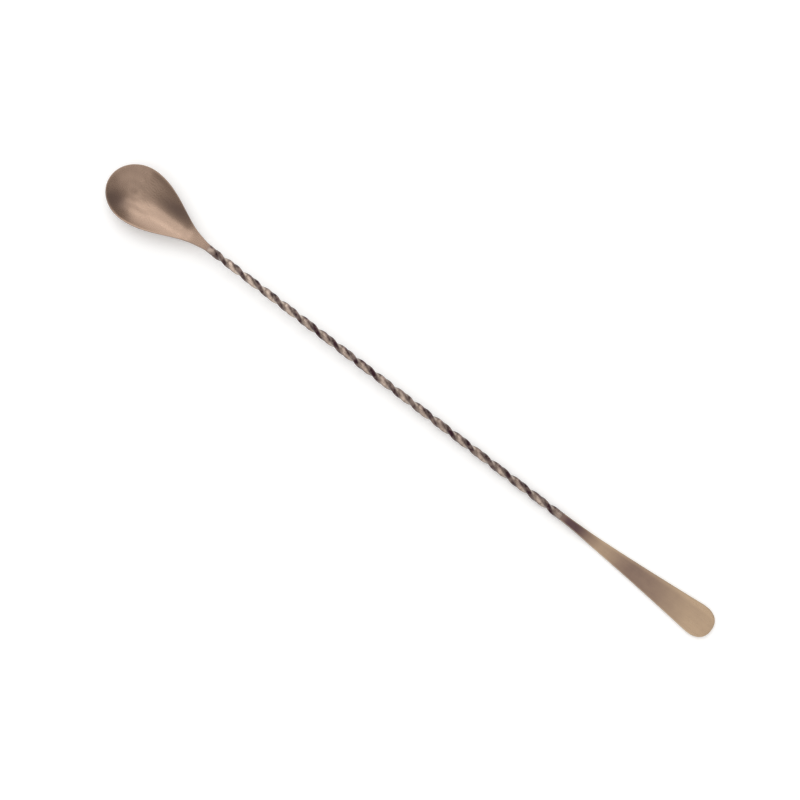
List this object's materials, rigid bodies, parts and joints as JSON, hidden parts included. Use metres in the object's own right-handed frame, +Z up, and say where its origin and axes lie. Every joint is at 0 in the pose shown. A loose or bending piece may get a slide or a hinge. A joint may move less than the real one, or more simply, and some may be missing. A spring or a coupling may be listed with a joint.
{
  "type": "bar spoon",
  "caption": "Long bar spoon for stirring drinks: teardrop bowl on a narrow neck, twisted flat-bar stem and a flat rounded paddle at the other end, in an antique brass finish.",
  "frame": {"origin": "on the table surface under the middle of the spoon, half-way between the bowl's tip and the paddle's tip, on the spoon's centre line", "axes": "+X along the spoon from the bowl to the paddle, +Y across it, +Z up out of the open bowl"},
  "size_m": [0.2999, 0.0246, 0.0064],
  "materials": {
    "bowl_brass": "satin antique brass, brushed along the spoon, darker patina low on the walls",
    "stem_brass": "satin antique brass, dark patina on the faces and rubbed bright edges",
    "paddle_brass": "satin antique brass, brushed along the spoon",
    "braze_filler": "dressed flush and toned dark with the patina"
  },
  "bodies": {
    "root": {"bowl": "bowl_brass", "neck_braze": "braze_filler", "twisted_stem": "stem_brass", "paddle_braze": "braze_filler", "paddle": "paddle_brass"}
  },
  "joints": []
}
